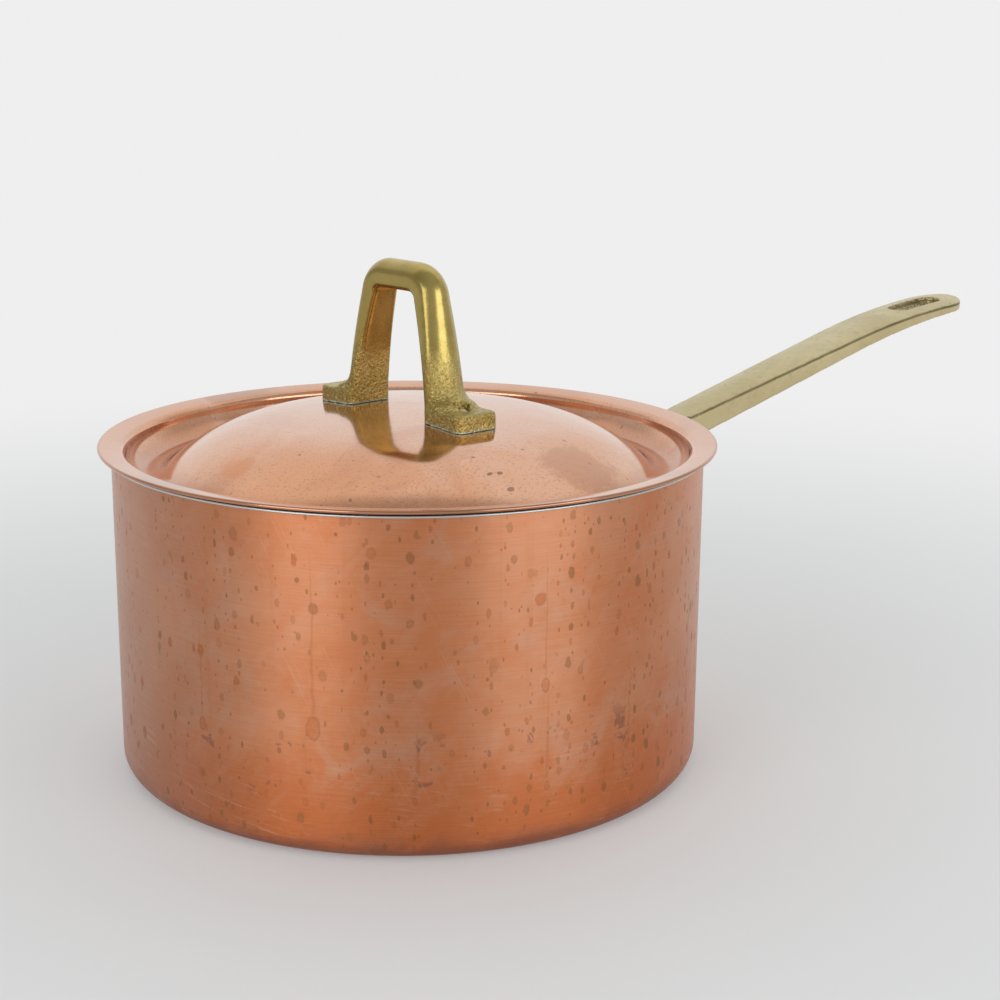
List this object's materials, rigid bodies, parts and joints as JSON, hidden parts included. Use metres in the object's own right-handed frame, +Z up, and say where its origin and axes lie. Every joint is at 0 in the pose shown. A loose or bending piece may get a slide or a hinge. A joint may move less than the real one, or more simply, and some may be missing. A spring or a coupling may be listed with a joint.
{
  "type": "covered saucepan",
  "caption": "Straight-sided copper saucepan with a steel lining, a cast brass stick handle with a hanging slot, and a domed lift-off lid with a cast brass arch handle.",
  "frame": {"origin": "on the pan's axis at the underside of its base", "axes": "+Z up along the pan's axis, +X along the long handle, so the lid's arch runs along Y"},
  "size_m": [0.367, 0.188, 0.1537],
  "materials": {
    "copper_pan": "satin copper with water spots and heat tint",
    "copper_lid": "polished copper with fine scratches",
    "steel_lining": "bright brushed steel",
    "brass_pan_handle": "satin cast brass",
    "brass_lid_handle": "polished cast brass with a pitted skin",
    "brass_rivet": "satin brass"
  },
  "bodies": {
    "pan": {"pan_copper_shell": "copper_pan", "pan_steel_liner": "steel_lining", "pan_handle": "brass_pan_handle", "handle_rivet_1": "brass_rivet", "handle_rivet_2": "brass_rivet", "handle_rivet_3": "brass_rivet"},
    "lid": {"lid_copper_shell": "copper_lid", "lid_steel_liner": "steel_lining", "lid_handle": "brass_lid_handle", "lid_rivet_1": "brass_rivet", "lid_rivet_2": "brass_rivet"}
  },
  "joints": [
    {"name": "lid_lift", "type": "slide", "parent": "pan", "child": "lid", "axis": [0, 0, 1], "range_m": [0, 0.08]}
  ]
}
